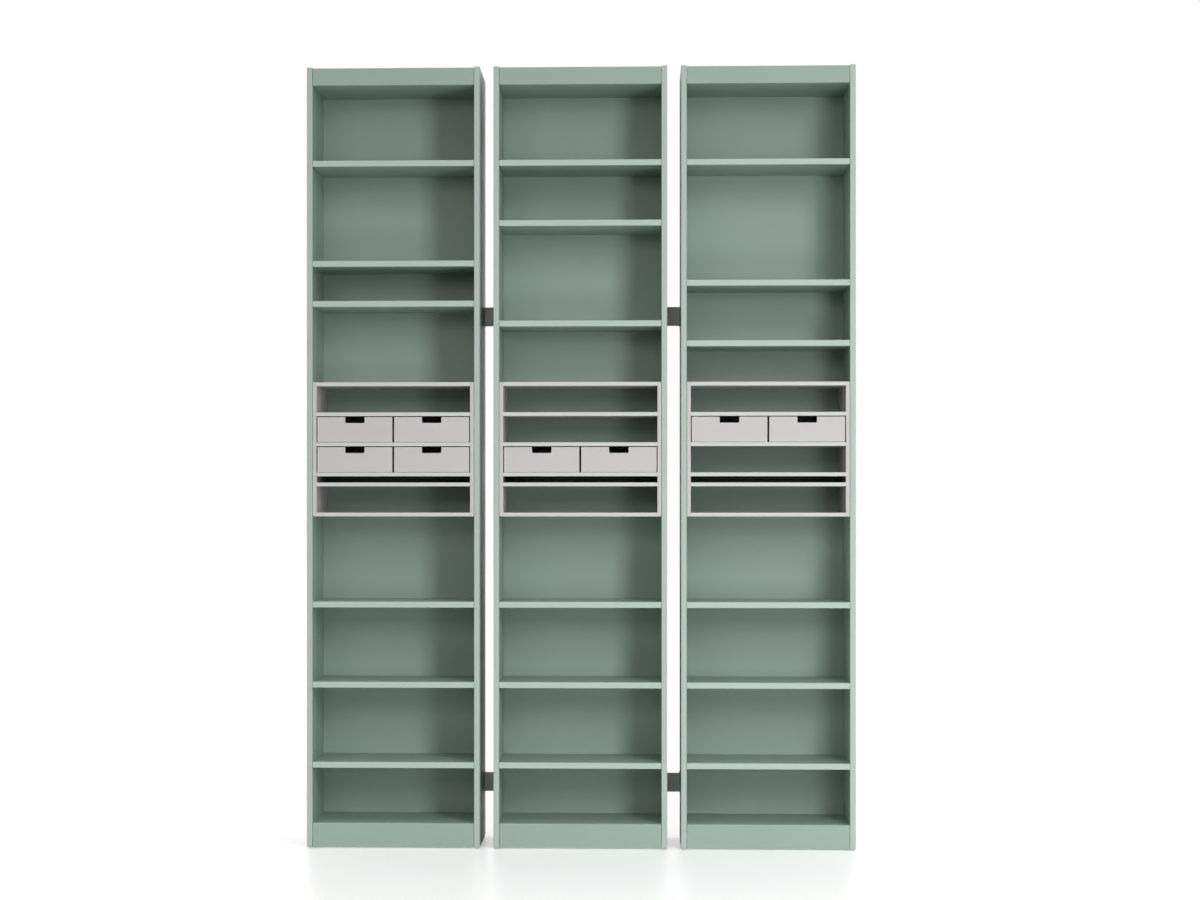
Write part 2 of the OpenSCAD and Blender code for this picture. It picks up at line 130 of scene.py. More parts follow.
# Settings that many nodes share
COLOURS = {"data_type": "RGBA"}
PRODUCT = {"operation": "MULTIPLY"}
LARGEST = {"operation": "MAXIMUM"}
GRADUAL = {"interpolation_type": "SMOOTHSTEP"}

# Sockets of a Mix node: its factor, its two colours and the mixed colour, and its two numbers
FACTOR, COLOUR_A, COLOUR_B, MIXED = 0, 6, 7, 2
NUMBER_A, NUMBER_B = 2, 3


def linear(text):
    """The linear colour of an sRGB hex value."""
    parts = [int(text[i:i + 2], 16) / 255 for i in (1, 3, 5)]
    return tuple(c / 12.92 if c <= 0.04045 else ((c + 0.055) / 1.055) ** 2.4 for c in parts)


def size(name, text, value, low, high):
    """A length that the user can change, given in millimetres."""
    return FloatProperty(name=name, description=text, default=value * MM, min=low * MM, max=high * MM,
                         unit="LENGTH", precision=4)


def colour(name, text, value):
    """A colour that the user can change, given as an sRGB hex value."""
    return FloatVectorProperty(name=name, description=text, subtype="COLOR", min=0, max=1,
                               default=linear(value))


def power(name, text, value):
    """The power of a softbox in watts, which the user can change."""
    return FloatProperty(name=name, description=text, subtype="POWER", min=0, default=value)


def level(name, text, value):
    """A level of light that the user can change, where 1 is white."""
    return FloatProperty(name=name, description=text, subtype="FACTOR", min=0, soft_max=1, default=value)


class BookcaseSizes(bpy.types.PropertyGroup):
    board_edge: size("Board edge", "Rounding of the edges of the lacquered boards", 1.5, 0.1, 3)
    joint: size("Joint", "Opening between a fascia or plinth and the sides", 0.7, 0.1, 1)
    insert_edge: size("Insert edge", "Rounding of the edges of the insert and the drawers", 0.7, 0.1, 2)
    bend: size("Bend", "Outer radius of the bends in the steel brackets", 4, 3, 8)
    burr: size("Steel edge", "Rounding of the cut edges of steel parts", 0.4, 0.1, 1)
    thread_pitch: size("Thread pitch", "Rise of a screw's thread in one turn", 1.8, 1, 3)
    thread_depth: size("Thread depth", "Depth of a screw's thread", 0.55, 0.2, 0.8)
    flute: size("Flute", "Depth of the flutes along a dowel", 0.35, 0.1, 0.8)
    edge_steps: IntProperty(name="Edge steps", description="Faces across a rounded edge", default=3, min=1,
                            max=6)
    spin_seed: IntProperty(name="Spin seed", description="Seed of the turn of each screw and cam", default=7)


class BookcaseFinish(bpy.types.PropertyGroup):
    sage: colour("Sage", "Lacquer of the boards", "#9BAFA6")
    side_edge: colour("Side edge", "Lacquer on the sides' front edges", "#B1BFB9")
    lipping: colour("Lipping", "Lacquer on the shelves' front edges", "#B4C6BE")
    grey: colour("Warm grey", "Lacquer of the insert and the drawers", "#C9C5C6")
    grey_lipping: colour("Grey lipping", "Lacquer on the insert boards' front edges", "#CFD2CF")
    link: colour("Link paint", "Powder coat of the link brackets", "#DDE7E1")
    steel: colour("Steel", "Plain steel", "#A9ABAA")
    zinc: colour("Zinc", "Zinc plate on screws and cams", "#C3C6C7")
    beech: colour("Beech", "Bare beech of the dowels", "#CFAE7F")
    plastic: colour("Plastic", "Moulded plastic of the feet", "#2E302F")
    cloud: size("Cloud", "Width of the faint clouds in a lacquered surface", 160, 20, 400)
    peel: size("Orange peel", "Width of the ripples in a sprayed surface", 3, 1, 8)
    # Real grit and pores are 0.1 to 0.3 mm wide. They are drawn coarser, because so fine ones wouldn't show.
    grit: size("Grit", "Width of the grains in the powder coat", 0.8, 0.3, 3)
    grain: size("Grain", "Width of the grain in the wood", 0.7, 0.3, 3)


class BookcaseStage(bpy.types.PropertyGroup):
    front_light: level("Front light", "Strength of the room light from in front", 0.08)
    back_light: level("Back light", "Strength of the room light from behind", 0.55)
    top_light: level("Top light", "Strength of the room light from above", 1.0)
    key: power("Key light", "Power of the high light on the right", 105)
    low: power("Low light", "Power of the close light near the floor on the right", 20)
    near: power("Near light", "Power of the close light above the low one", 21)
    fill: power("Fill light", "Power of the wide light on the left", 60)
    floor: colour("Floor", "Colour of the floor as the camera sees it", "#E7E7E6")
    near_bounce: colour("Near bounce", "Colour that the floor near the bookcase sends back", "#F3F2F1")
    far_bounce: colour("Far bounce", "Colour that the floor further away sends back", "#6A6A69")
    floor_lift: level("Floor lift", "Light added to the floor for the camera", 0.33)


def sizes():
    """The sizes that the user can change."""
    return bpy.context.scene.bookcase_sizes


def finish():
    """The colours and patterns that the user can change."""
    return bpy.context.scene.bookcase_finish


def add(tree, kind, settings=None, inputs=None):
    """Adds a node with its settings. An input given as a socket is linked, and so is each of a list."""
    node = tree.nodes.new(kind)
    for name, value in (settings or {}).items():
        setattr(node, name, value)
    for name, value in (inputs or {}).items():
        for one in value if isinstance(value, list) else [value]:
            if isinstance(one, bpy.types.NodeSocket):
                tree.links.new(one, node.inputs[name])
            else:
                node.inputs[name].default_value = one
    return node


def new_material(name, **values):
    """A material with these values on its Principled shader, and its tree, shader and object coordinates."""
    material = bpy.data.materials.new(name)
    material.use_nodes = True
    tree = material.node_tree
    shader = tree.nodes["Principled BSDF"]
    for socket, value in values.items():
        shader.inputs[socket.replace("_", " ")].default_value = value
    return material, tree, shader, add(tree, "ShaderNodeTexCoord").outputs["Object"]


def feed(tree, shader, **sources):
    """Links what the patterns give to the shader's sockets."""
    for socket, source in sources.items():
        tree.links.new(source, shader.inputs[socket.replace("_", " ")])


def rgba(value, factor=1.0):
    """A colour as a node takes it, made darker or paler by a factor."""
    return tuple(min(1.0, c * factor) for c in value) + (1.0,)


def patterned(tree, shader, pattern, tone, darker, paler, relief=0.0, depth=0.0):
    """Colours a material by a pattern, from a darker to a paler tone, with the same pattern as relief."""
    body = add(tree, "ShaderNodeMix", COLOURS, {
        FACTOR: pattern, COLOUR_A: rgba(tone, darker), COLOUR_B: rgba(tone, paler)}).outputs[MIXED]
    feed(tree, shader, Base_Color=body)
    if depth:
        bump = add(tree, "ShaderNodeBump", inputs={"Strength": relief, "Distance": depth, "Height": pattern})
        feed(tree, shader, Normal=bump.outputs["Normal"])


def lacquer(name, tone, rough, front=None):
    """Satin lacquer sprayed on MDF: a soft broad sheen, faint clouds and orange peel, and a painted highlight on
    rounded edges that look up or down.

    Real orange peel is some 0.015 mm deep, too little to show in a close view. It is drawn ten times deeper.
    """
    look = finish()
    material, tree, shader, place = new_material(name, IOR=1.4)
    cloud = add(tree, "ShaderNodeTexNoise", inputs={
        "Vector": place, "Scale": 1 / look.cloud, "Detail": 4.0, "Roughness": 0.6}).outputs["Fac"]
    peel = add(tree, "ShaderNodeTexNoise", inputs={
        "Vector": place, "Scale": 1 / look.peel, "Detail": 2.0}).outputs["Fac"]
    body = add(tree, "ShaderNodeMix", COLOURS, {
        FACTOR: cloud, COLOUR_A: rgba(tone, factor=0.955), COLOUR_B: rgba(tone, factor=1.045)}).outputs[MIXED]
    if front:
        on_front = add(tree, "ShaderNodeAttribute", {"attribute_name": "front"}).outputs["Fac"]
        body = add(tree, "ShaderNodeMix", COLOURS, {
            FACTOR: on_front, COLOUR_A: body, COLOUR_B: rgba(front)}).outputs[MIXED]
    # Painted highlight: rounded edges that look up or down are made lighter, unevenly by the clouds.
    arris = add(tree, "ShaderNodeAttribute", {"attribute_name": "arris"}).outputs["Fac"]
    painted_highlight = add(tree, "ShaderNodeMath", PRODUCT, {0: arris, 1: cloud}).outputs[0]
    body = add(tree, "ShaderNodeMix", COLOURS, {
        FACTOR: painted_highlight, COLOUR_A: body, COLOUR_B: rgba(tone, factor=1.8)}).outputs[MIXED]
    gloss = add(tree, "ShaderNodeMapRange", inputs={
        "Value": cloud, "From Min": 0.3, "From Max": 0.7,
        "To Min": rough - 0.04, "To Max": rough + 0.05}).outputs["Result"]
    bump = add(tree, "ShaderNodeBump", inputs={
        "Strength": 1.0, "Distance": 0.16 * MM, "Height": peel}).outputs["Normal"]
    feed(tree, shader, Base_Color=body, Roughness=gloss, Normal=bump)
    return material


def powder_coat(name, tone):
    """Powder coat baked on steel: matt, with an even grit that breaks up the light."""
    material, tree, shader, place = new_material(name, IOR=1.5, Roughness=0.55)
    grit = add(tree, "ShaderNodeTexVoronoi", inputs={"Vector": place, "Scale": 1 / finish().grit})
    patterned(tree, shader, grit.outputs["Distance"], tone, darker=0.85, paler=1.2,
              relief=0.5, depth=0.08 * MM)
    return material


def metal(name, tone, rough, mark):
    """Bare or plated metal: its own colour in the reflection, with fine marks along X.

    Real marks of drawing, rolling or plating are finer. These are wide enough to show in a close view.
    """
    material, tree, shader, place = new_material(name, Metallic=1.0)
    along = add(tree, "ShaderNodeMapping", inputs={"Vector": place, "Scale": (0.15, 1.0, 1.0)}).outputs[0]
    marks = add(tree, "ShaderNodeTexNoise", inputs={
        "Vector": along, "Scale": 1 / mark, "Detail": 3.0}).outputs["Fac"]
    patterned(tree, shader, marks, tone, darker=0.85, paler=1.1)
    gloss = add(tree, "ShaderNodeMapRange", inputs={
        "Value": marks, "To Min": rough - 0.08, "To Max": rough + 0.1}).outputs["Result"]
    feed(tree, shader, Roughness=gloss)
    return material


def bare_beech(name, tone):
    """Bare turned beech: matt, with pores and a slight change of tone along the grain, which runs along X."""
    material, tree, shader, place = new_material(name, IOR=1.45, Roughness=0.7)
    along = add(tree, "ShaderNodeMapping", inputs={"Vector": place, "Scale": (0.06, 1.0, 1.0)}).outputs[0]
    grain = add(tree, "ShaderNodeTexNoise", inputs={
        "Vector": along, "Scale": 1 / finish().grain, "Detail": 5.0}).outputs["Fac"]
    patterned(tree, shader, grain, tone, darker=0.72, paler=1.15, relief=0.4, depth=0.05 * MM)
    return material


def moulded_plastic(name, tone):
    """Injection-moulded plastic: dark, with the spark-eroded texture of its mould."""
    texture_width = 0.6 * MM   # drawn coarser than real, which is too fine to show
    material, tree, shader, place = new_material(name, IOR=1.47, Roughness=0.5)
    texture = add(tree, "ShaderNodeTexNoise", inputs={
        "Vector": place, "Scale": 1 / texture_width, "Detail": 2.0}).outputs["Fac"]
    patterned(tree, shader, texture, tone, darker=0.8, paler=1.25, relief=0.3, depth=0.05 * MM)
    return material


def made(name, build, *values, **options):
    """The material of that name, built when it is first asked for."""
    return bpy.data.materials.get(name) or build(name, *values, **options)


def sage_lacquer(place="", front=None):
    """The lacquer of the units' boards. Those with a lighter front edge have one of their own."""
    return made("sage_lacquer" + place, lacquer, finish().sage, rough=0.42, front=front)


def grey_lacquer(place="", front=None):
    """The lacquer of the inserts and drawers. Boards with a lighter front edge have one of their own."""
    return made("warm_grey_lacquer" + place, lacquer, finish().grey, rough=0.48, front=front)


def zinc_plate():
    """The zinc plate of all screws, bolts and cams."""
    return made("zinc_plate", metal, finish().zinc, rough=0.34, mark=0.5 * MM)


def merged(node):
    """A bmesh of a CAD node with its loose triangles joined and its flat faces made whole."""
    bm = bmesh.new()
    bm.from_mesh(frame["nodes"][node].data)
    bmesh.ops.remove_doubles(bm, verts=bm.verts, dist=MERGE)
    bmesh.ops.dissolve_limit(bm, angle_limit=FLAT, verts=bm.verts, edges=bm.edges)
    return bm


def solids(bm):
    """The vertices of each separate solid of a bmesh."""
    left = set(bm.verts)
    found = []
    for start in bm.verts:
        if start in left:
            left.discard(start)
            group, todo = [], [start]
            while todo:
                vertex = todo.pop()
                group.append(vertex)
                for edge in vertex.link_edges:
                    other = edge.other_vert(vertex)
                    if other in left:
                        left.discard(other)
                        todo.append(other)
            found.append(group)
    return found


def corners(vertices):
    """Lowest and highest corner of some vertices."""
    low = Vector([min(v.co[i] for v in vertices) for i in range(3)])
    high = Vector([max(v.co[i] for v in vertices) for i in range(3)])
    return low, high


def on_outline(edge, low, high):
    """True if an edge runs along an edge of the box from low to high."""
    a, b = (v.co for v in edge.verts)
    flush = [abs(a[i] - b[i]) < MERGE and min(abs(a[i] - low[i]), abs(a[i] - high[i])) < MERGE
             for i in range(3)]
    return sum(flush) == 2


def sharp_edges(bm):
    """The edges of a bmesh that stick out at an angle."""
    return [e for e in bm.edges if e.is_convex and e.calc_face_angle(0) > SHARP]


def outline_edges(bm):
    """The sharp edges along the box of each solid."""
    found = []
    for group in solids(bm):
        low, high = corners(group)
        inside = set(group)
        found += [e for e in sharp_edges(bm) if e.verts[0] in inside and on_outline(e, low, high)]
    return found


def ease(bm, edges, radius, steps=None):
    """Rounds edges of a bmesh."""
    bmesh.ops.bevel(bm, geom=edges, offset=radius, segments=steps or sizes().edge_steps, profile=0.5,
                    affect="EDGES", clamp_overlap=True)


def mark_faces(mesh):
    """Stores how far each face of a rounded edge looks up or down, as the strength of a painted highlight, and
    which faces look to the front.
    """
    arris = mesh.attributes.new("arris", "FLOAT", "FACE")
    front = mesh.attributes.new("front", "FLOAT", "FACE")
    for face in mesh.polygons:
        rounded = max(abs(c) for c in face.normal) < SQUARE_ON
        arris.data[face.index].value = abs(face.normal.z) if rounded else 0.0
        front.data[face.index].value = float(face.normal.y < -FRONTAL)


def to_mesh(bm, name):
    """Turns a bmesh into a mesh and frees it."""
    mesh = bpy.data.meshes.new(name)
    bm.to_mesh(mesh)
    bm.free()
    return mesh


def link(name, data):
    """An object in the scene with this mesh, lamp or camera."""
    piece = bpy.data.objects.new(name, data)
    bpy.context.scene.collection.objects.link(piece)
    return piece


def shade(mesh):
    """Shades the rounded edges smooth and keeps the others sharp."""
    mesh.shade_smooth()
    mesh.set_sharp_from_angle(angle=SMOOTH)


def place_piece(piece, node, material=None):
    """Gives a finished piece its shading and material, and lets it stand for a CAD node on its body."""
    shade(piece.data)
    flat = piece.modifiers.new("Flat faces", "WEIGHTED_NORMAL")
    flat.keep_sharp = True
    if material:
        piece.data.materials.clear()
        piece.data.materials.append(material)
    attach(piece, BODY_OF[node])
    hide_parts(node)


def eased_copy(node, material, radius, choose=outline_edges, joint=0.0):
    """A copy of a CAD node with chosen edges rounded, and its ends drawn in by the width of a joint."""
    bm = merged(node)
    low, high = corners(bm.verts)
    for vertex in bm.verts:
        vertex.co.x = min(max(vertex.co.x, low.x + joint), high.x - joint)
    ease(bm, choose(bm), radius)
    mesh = to_mesh(bm, node)
    mark_faces(mesh)
    place_piece(link(node + "_eased", mesh), node, material)


def new_tree(name, inputs):
    """A Geometry Nodes tree that works on points, with named inputs, and its group input and output."""
    subtypes = {"Length": "DISTANCE", "Angle": "ANGLE"}
    tree = bpy.data.node_groups.new(name, "GeometryNodeTree")
    tree.interface.new_socket("Points", in_out="INPUT", socket_type="NodeSocketGeometry")
    for label, kind in inputs.items():
        socket_type = "NodeSocketFloat" if kind in subtypes else "NodeSocket" + kind
        socket = tree.interface.new_socket(label, in_out="INPUT", socket_type=socket_type)
        if kind in subtypes:
            socket.subtype = subtypes[kind]
    tree.interface.new_socket("Pieces", in_out="OUTPUT", socket_type="NodeSocketGeometry")
    return tree, tree.nodes.new("NodeGroupInput").outputs, tree.nodes.new("NodeGroupOutput").inputs


def end_tree(tree, copies, given, result):
    """Ends a tree: its copies are made real and get the given material."""
    real = add(tree, "GeometryNodeRealizeInstances", inputs={"Geometry": copies})
    finished = add(tree, "GeometryNodeSetMaterial", inputs={
        "Geometry": real.outputs[0], "Material": given["Material"]})
    tree.links.new(finished.outputs[0], result["Pieces"])
    return tree


def grown(name, points, tree, values, directions=None):
    """Runs a tree on a mesh of points and keeps what it makes as a plain mesh."""
    mesh = bpy.data.meshes.new(name)
    mesh.from_pydata([tuple(p) for p in points], [], [])
    if directions:
        stored = mesh.attributes.new("direction", "FLOAT_VECTOR", "POINT")
        stored.data.foreach_set("vector", [c for d in directions for c in d])
    piece = link(name, mesh)
    modifier = piece.modifiers.new(tree.name, "NODES")
    modifier.node_group = tree
    for item in tree.interface.items_tree:
        if item.in_out == "INPUT" and item.name in values:
            modifier[item.identifier] = values[item.name]
    evaluated = piece.evaluated_get(bpy.context.evaluated_depsgraph_get())
    plain = bpy.data.meshes.new_from_object(evaluated)
    plain.materials.clear()
    plain.materials.append(values["Material"])
    piece.modifiers.clear()
    piece.data = plain
    return piece


def board_tree():
    """A tree that sets a board with rounded long edges at each point and grooves its ends if asked to."""
    name = "Eased boards"
    if name in bpy.data.node_groups:
        return bpy.data.node_groups[name]
    lengths = ("Width", "Depth", "Thickness", "Edge radius", "Groove depth", "Groove height", "Groove front")
    tree, given, result = new_tree(name, {
        **dict.fromkeys(lengths, "Length"), "Edge steps": "Int", "Grooved": "Bool", "Material": "Material"})
    outline = add(tree, "GeometryNodeCurvePrimitiveQuadrilateral", inputs={
        "Width": given["Depth"], "Height": given["Thickness"]})
    rounded = add(tree, "GeometryNodeFilletCurve", {"mode": "POLY"}, {
        "Curve": outline.outputs[0], "Count": given["Edge steps"], "Radius": given["Edge radius"]})
    right = add(tree, "ShaderNodeMath", PRODUCT, {0: given["Width"], 1: 0.5}).outputs[0]
    left = add(tree, "ShaderNodeMath", PRODUCT, {0: right, 1: -1.0}).outputs[0]
    back = add(tree, "ShaderNodeMath", PRODUCT, {0: given["Depth"], 1: 0.5}).outputs[0]
    line = add(tree, "GeometryNodeCurvePrimitiveLine", inputs={
        "Start": add(tree, "ShaderNodeCombineXYZ", inputs={"X": left}).outputs[0],
        "End": add(tree, "ShaderNodeCombineXYZ", inputs={"X": right}).outputs[0]})
    board = add(tree, "GeometryNodeCurveToMesh", inputs={
        "Curve": line.outputs[0], "Profile Curve": rounded.outputs[0], "Fill Caps": True}).outputs[0]
    # A cutter is centred on a rear corner, so it is twice as wide and deep as its groove.
    run = add(tree, "ShaderNodeMath", {"operation": "SUBTRACT"}, {
        0: given["Depth"], 1: given["Groove front"]})
    wide = add(tree, "ShaderNodeMath", PRODUCT, {0: given["Groove depth"], 1: 2.0})
    deep = add(tree, "ShaderNodeMath", PRODUCT, {0: run.outputs[0], 1: 2.0})
    box = add(tree, "ShaderNodeCombineXYZ", inputs={
        "X": wide.outputs[0], "Y": deep.outputs[0], "Z": given["Groove height"]})
    cutter = add(tree, "GeometryNodeMeshCube", inputs={"Size": box.outputs[0]})
    cutters = []
    for end in (left, right):
        corner = add(tree, "ShaderNodeCombineXYZ", inputs={"X": end, "Y": back})
        moved = add(tree, "GeometryNodeTransform", inputs={
            "Geometry": cutter.outputs[0], "Translation": corner.outputs[0]})
        cutters.append(moved.outputs[0])
    cut = add(tree, "GeometryNodeMeshBoolean", {"operation": "DIFFERENCE", "solver": "EXACT"}, {
        "Mesh 1": board, "Mesh 2": cutters})
    chosen = add(tree, "GeometryNodeSwitch", {"input_type": "GEOMETRY"}, {
        "Switch": given["Grooved"], "False": board, "True": cut.outputs[0]})
    copies = add(tree, "GeometryNodeInstanceOnPoints", inputs={
        "Points": given["Points"], "Instance": chosen.outputs[0]})
    return end_tree(tree, copies.outputs[0], given, result)


def fitting_tree():
    """A tree that sets a fitting at each point, along the point's direction and turned at random."""
    name = "Fittings"
    if name in bpy.data.node_groups:
        return bpy.data.node_groups[name]
    tree, given, result = new_tree(name, {
        "Fitting": "Object", "Spin": "Angle", "Seed": "Int", "Material": "Material"})
    direction = add(tree, "GeometryNodeInputNamedAttribute", {"data_type": "FLOAT_VECTOR"}, {
        "Name": "direction"})
    aligned = add(tree, "FunctionNodeAlignRotationToVector", {"axis": "Z"}, {"Vector": direction.outputs[0]})
    shape = add(tree, "GeometryNodeObjectInfo", inputs={"Object": given["Fitting"]})
    copies = add(tree, "GeometryNodeInstanceOnPoints", inputs={
        "Points": given["Points"], "Instance": shape.outputs["Geometry"], "Rotation": aligned.outputs[0]})
    highest, angle = 3, 1      # sockets: its highest value and the random number
    spin = add(tree, "FunctionNodeRandomValue", {"data_type": "FLOAT"}, {
        highest: given["Spin"], "Seed": given["Seed"]})
    turn = add(tree, "FunctionNodeAxisAngleToRotation", inputs={
        "Axis": (0, 0, 1), "Angle": spin.outputs[angle]})
    spun = add(tree, "GeometryNodeRotateInstances", inputs={
        "Instances": copies.outputs[0], "Rotation": turn.outputs[0], "Local Space": True})
    return end_tree(tree, spun.outputs[0], given, result)


def boards(node, material, radius, groove=None):
    """Boards with rounded edges in place of the solids of a CAD node, which are all alike."""
    bm = merged(node)
    boxes = [corners(group) for group in solids(bm)]
    bm.free()
    low, high = boxes[0]
    values = {"Width": high.x - low.x, "Depth": high.y - low.y, "Thickness": high.z - low.z,
              "Edge radius": radius, "Edge steps": sizes().edge_steps, "Material": material,
              "Grooved": bool(groove), **(groove or {})}
    piece = grown(node + "_eased", [(a + b) / 2 for a, b in boxes], board_tree(), values)
    mark_faces(piece.data)
    place_piece(piece, node)


def places(node, axis):
    """Widest end and direction of each round solid of a CAD node, and length and radius of the first."""
    bm = merged(node)
    found, measures = [], []
    for group in solids(bm):
        low, high = corners(group)
        middle = (low + high) / 2
        across = [i for i in range(3) if i != axis]
        reach = {v: math.hypot(*(v.co[i] - middle[i] for i in across)) for v in group}
        radius = max(reach.values())
        wide = [v.co[axis] for v in group if reach[v] > WIDEST * radius]
        from_high = sum(wide) / len(wide) > middle[axis] + MERGE
        start, direction = middle.copy(), Vector((0, 0, 0))
        start[axis] = high[axis] if from_high else low[axis]
        direction[axis] = -1 if from_high else 1
        found.append((start, direction))
        measures.append((high[axis] - low[axis], radius))
    bm.free()
    return found, *measures[0]


def fit(node, found, mesh, material, spin=0.0):
    """Copies of a fitting's mesh in place of the solids of a CAD node, turned by up to the angle spin."""
    shade(mesh)
    pattern = link(node + "_pattern", mesh)
    values = {"Fitting": pattern, "Spin": spin, "Seed": sizes().spin_seed, "Material": material}
    piece = grown(node + "_detailed", [p[0] for p in found], fitting_tree(), values, [p[1] for p in found])
    bpy.data.objects.remove(pattern)
    place_piece(piece, node)


def turned(bm, profile, sides=SCREW_SIDES, flute=None, caps=(True, True)):
    """Turns points (radius, height) round Z. With a flute radius, every other corner is cut back to it."""
    rings = []
    for radius, height in profile:
        ring = []
        for j in range(sides):
            angle = 2 * math.pi * j / sides
            r = min(radius, flute) if flute and j % 2 else radius
            ring.append(bm.verts.new((r * math.cos(angle), r * math.sin(angle), height)))
        rings.append(ring)
    for lower, upper in zip(rings, rings[1:]):
        for j in range(sides):
            k = (j + 1) % sides
            bm.faces.new((lower[j], lower[k], upper[k], upper[j]))
    if caps[0]:
        bm.faces.new(rings[0][::-1])
    if caps[1]:
        bm.faces.new(rings[-1])


def thread(bm, start, end, root, crest, pitch):
    """A screw thread round Z between two heights, with a plain ring at each end.

    Each turn has a row of vertices at the root and one on the crest. Spare rows end up on the rings.
    """
    rows = 2 * math.ceil((end - start) / pitch) + 3
    columns = []
    for j in range(SCREW_SIDES):
        angle = 2 * math.pi * j / SCREW_SIDES
        column = []
        for i in range(-2, rows):
            height = start + pitch * (i / 2 + j / SCREW_SIDES)
            inside = start < height < end
            radius = crest if inside and i % 2 else root
            column.append(bm.verts.new((radius * math.cos(angle), radius * math.sin(angle),
                                        min(max(height, start), end))))
        columns.append(column)
    columns.append(columns[0][2:])    # once round, the thread is two rows further on
    for column, after in zip(columns, columns[1:]):
        for i in range(len(after) - 1):
            bm.faces.new((column[i], after[i], after[i + 1], column[i + 1]))


def screw_end(bm, start, point, end, root, crest, pitch, tip):
    """A thread from start to point and a plain cone from there to the end."""
    thread(bm, start, point, root, crest, pitch)
    turned(bm, [(root, point), (tip, end)], caps=(False, True))


def closed(bm, name):
    """Joins the rings of a turned part and turns its faces outwards."""
    bmesh.ops.remove_doubles(bm, verts=bm.verts, dist=MERGE)
    bmesh.ops.dissolve_degenerate(bm, edges=bm.edges, dist=MERGE)
    bmesh.ops.recalc_face_normals(bm, faces=bm.faces)
    return to_mesh(bm, name)


def cross_recess(mesh, reach, width, depth):
    """Cuts a cross recess, which narrows with its depth, into the face at height 0."""
    bm = bmesh.new()
    for along in (X, Y):
        for vertex in bmesh.ops.create_cube(bm, size=1.0)["verts"]:
            deep = vertex.co.z > 0
            taper = RECESS_TAPER if deep else 1.0
            half = [0.5 * width * taper, 0.5 * width * taper]
            half[along] = reach * taper
            vertex.co = Vector((math.copysign(half[0], vertex.co.x), math.copysign(half[1], vertex.co.y),
                                depth if deep else -depth / 2))
    tool = link("recess_tool", to_mesh(bm, "recess_tool"))
    target = link("recess_target", mesh)
    modifier = target.modifiers.new("Recess", "BOOLEAN")
    modifier.operation, modifier.solver, modifier.object = "DIFFERENCE", "EXACT", tool
    modifier.use_self = True
    result = bpy.data.meshes.new_from_object(target.evaluated_get(bpy.context.evaluated_depsgraph_get()))
    bpy.data.objects.remove(target)
    bpy.data.objects.remove(tool)
    return result


class BookcaseOperator(bpy.types.Operator):
    """Shared parts of the operators below"""
    bl_options = {"REGISTER", "UNDO"}


class BOOKCASE_OT_carcass(BookcaseOperator):
    """Ease and lacquer the sides, top boards, base boards, fascias and plinths"""
    bl_idname = "bookcase.carcass"
    bl_label = "Carcass boards"

    def execute(self, context):
        radius = sizes().board_edge
        for unit in UNITS:
            for board in ("left_side", "right_side"):
                eased_copy(f"{unit}_unit_{board}", sage_lacquer("_on_sides", finish().side_edge), radius)
            for board in ("top_board", "base_board"):
                eased_copy(f"{unit}_unit_{board}", sage_lacquer(), radius)
            for board in ("fascia", "plinth"):
                eased_copy(f"{unit}_unit_{board}", sage_lacquer(), radius, joint=sizes().joint)
        return {"FINISHED"}


class BOOKCASE_OT_back_panels(BookcaseOperator):
    """Lacquer the back panels and ease the edges that lie in their grooves"""
    bl_idname = "bookcase.back_panels"
    bl_label = "Back panels"

    def execute(self, context):
        for unit in UNITS:
            eased_copy(f"{unit}_unit_back_panel", sage_lacquer(), sizes().insert_edge)
        return {"FINISHED"}


class BOOKCASE_OT_shelves(BookcaseOperator):
    """Make the shelves with rounded edges, and a groove in each end for its two pins"""
    bl_idname = "bookcase.shelves"
    bl_label = "Shelves"

    def execute(self, context):
        pins = merged("shelf_pins")
        boxes = sorted((corners(group) for group in solids(pins)), key=lambda box: (box[1].x, -box[0].y))
        pins.free()
        pin_low, pin_high = boxes[-1]    # a front pin at the right end of the right unit's shelves
        shelf_low, shelf_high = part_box("right_unit_lower_shelves")
        groove = {"Groove depth": shelf_high.x - pin_low.x + 2 * GROOVE_PLAY,
                  "Groove height": pin_high.z - pin_low.z + 2 * GROOVE_PLAY,
                  "Groove front": pin_low.y - GROOVE_PLAY - shelf_low.y}
        for unit in UNITS:
            for row in ("lower", "upper"):
                boards(f"{unit}_unit_{row}_shelves", sage_lacquer("_on_shelves", finish().lipping),
                       sizes().board_edge, groove)
        return {"FINISHED"}


class BOOKCASE_OT_inserts(BookcaseOperator):
    """Ease and lacquer the sides and boards of the three inserts"""
    bl_idname = "bookcase.inserts"
    bl_label = "Inserts"

    def execute(self, context):
        radius = sizes().insert_edge
        for unit in UNITS:
            eased_copy(f"{unit}_unit_insert_sides", grey_lacquer(), radius)
            boards(f"{unit}_unit_insert_boards", grey_lacquer("_on_boards", finish().grey_lipping), radius)
        return {"FINISHED"}


def front_edges(bm):
    """The outline of a drawer front and the rims of its finger notch."""
    low, high = corners(bm.verts)
    chosen = set(outline_edges(bm))
    floor = min(v.co.z for v in bm.verts if low.z + MERGE < v.co.z and abs(v.co.y - low.y) < MERGE)
    for edge in sharp_edges(bm):
        a, b = (v.co for v in edge.verts)
        for face in (low.y, high.y):
            on_face = abs(a.y - face) < MERGE and abs(b.y - face) < MERGE
            if on_face and min(a.z, b.z) > floor - NOTCH_RIM:
                chosen.add(edge)
    return list(chosen)


class BOOKCASE_OT_drawers(BookcaseOperator):
    """Ease and lacquer the drawer fronts and the drawer boxes"""
    bl_idname = "bookcase.drawers"
    bl_label = "Drawers"

    def execute(self, context):
        for number in range(1, DRAWER_COUNT + 1):
            eased_copy(f"drawer_{number}_front", grey_lacquer(), sizes().insert_edge, front_edges)
            eased_copy(f"drawer_{number}_box", grey_lacquer(), sizes().insert_edge)
        return {"FINISHED"}


